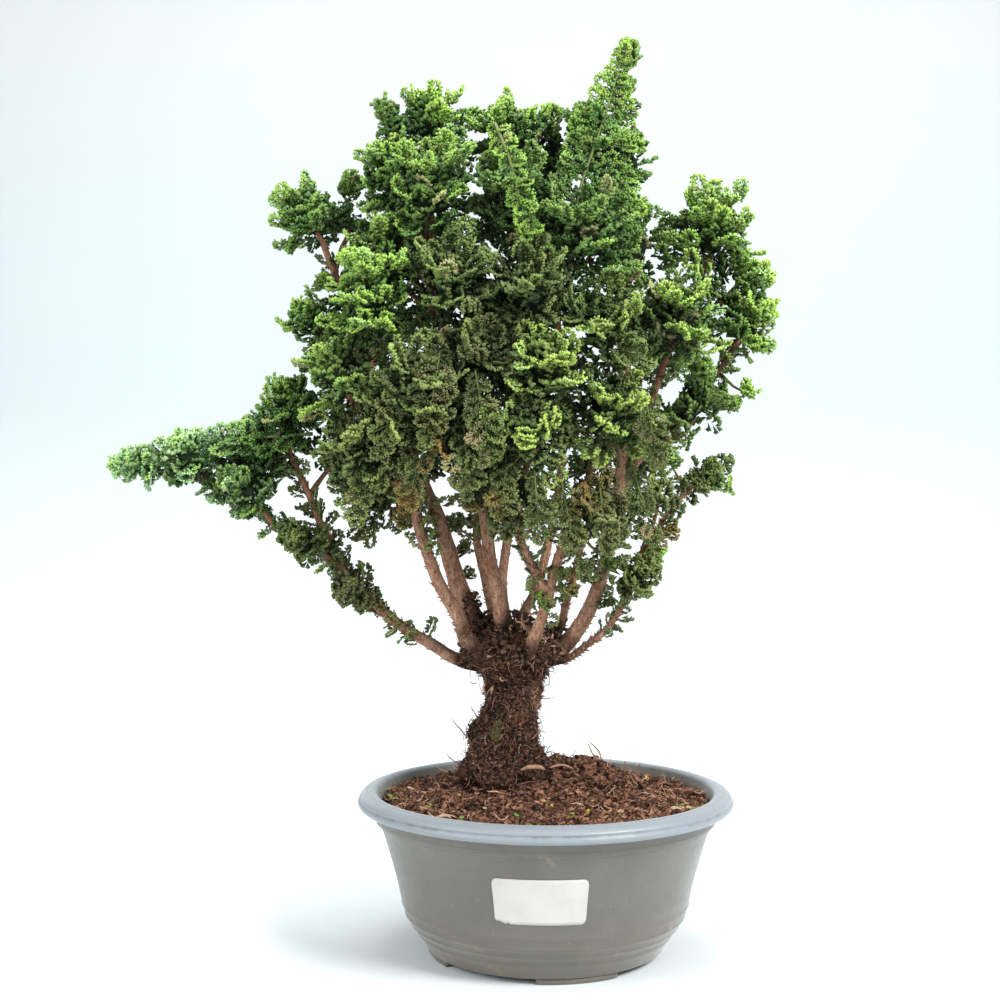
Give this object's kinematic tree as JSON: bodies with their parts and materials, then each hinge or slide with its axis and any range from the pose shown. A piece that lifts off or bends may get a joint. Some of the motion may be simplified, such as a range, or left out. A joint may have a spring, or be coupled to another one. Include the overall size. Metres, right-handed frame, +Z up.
{
  "type": "hinoki cypress bonsai",
  "caption": "Hinoki cypress bonsai: a short fibrous trunk that fans out into leafy upswept limbs, planted in dark soil in a round plastic nursery pot.",
  "frame": {"origin": "middle of the whole object's footprint box, on the surface that the pot's feet stand on", "axes": "+Z up along the tree, -Y towards the front, where the pot's label is, +X to the right as seen from the front, where the tall leader stands"},
  "size_m": [0.375, 0.2208, 0.5115],
  "materials": {
    "pot": "moulded blue-grey plastic, satin, dusty in the grooves",
    "label": "bare white paper label, slightly torn at one corner",
    "soil": "dark moist peat with bark chips",
    "bark": "fibrous reddish brown bark, dark and peaty on the trunk",
    "foliage": "scale leaves in flat shell-like fans, dark green with yellow-green tips"
  },
  "bodies": {
    "root": {"pot": "pot", "label": "label", "soil": "soil", "wood": "bark", "foliage_left_tip": "foliage", "foliage_left_upper": "foliage", "foliage_left_under": "foliage", "foliage_left_saddle": "foliage", "foliage_left_low_fringe": "foliage", "foliage_left_lowest": "foliage", "foliage_left_shoulder": "foliage", "foliage_left_inner": "foliage", "foliage_left_knee": "foliage", "foliage_left_ledge": "foliage", "foliage_left_head": "foliage", "foliage_left_head_side": "foliage", "foliage_front_left_bright": "foliage", "foliage_front_left_mid": "foliage", "foliage_front_left_olive": "foliage", "foliage_front_left_inner": "foliage", "foliage_under_left": "foliage", "foliage_crown_left_spike": "foliage", "foliage_crown_left_side": "foliage", "foliage_crown_left_top": "foliage", "foliage_crown_left_front": "foliage", "foliage_shoulder_left": "foliage", "foliage_centre_left_front": "foliage", "foliage_centre_left_low": "foliage", "foliage_centre_left_mid": "foliage", "foliage_crown_back_left": "foliage", "foliage_back_left_mid": "foliage", "foliage_back_left_low": "foliage", "foliage_back_mid": "foliage", "foliage_back_low": "foliage", "foliage_crown_back": "foliage", "foliage_crown_centre": "foliage", "foliage_crown_centre_right": "foliage", "foliage_crown_centre_front": "foliage", "foliage_centre_front_upper": "foliage", "foliage_front_bright_upper": "foliage", "foliage_front_bright_lower": "foliage", "foliage_front_low": "foliage", "foliage_front_right_bright": "foliage", "foliage_front_right_low": "foliage", "foliage_spire_top": "foliage", "foliage_spire_left": "foliage", "foliage_spire_right": "foliage", "foliage_spire_front": "foliage", "foliage_spire_low": "foliage", "foliage_spire_back": "foliage", "foliage_right_top": "foliage", "foliage_right_upper": "foliage", "foliage_right_front": "foliage", "foliage_right_edge": "foliage", "foliage_right_mid": "foliage", "foliage_right_low": "foliage", "foliage_right_low_inner": "foliage", "foliage_right_lowest": "foliage", "foliage_back_right_mid": "foliage", "foliage_back_right_low": "foliage"}
  },
  "joints": []
}
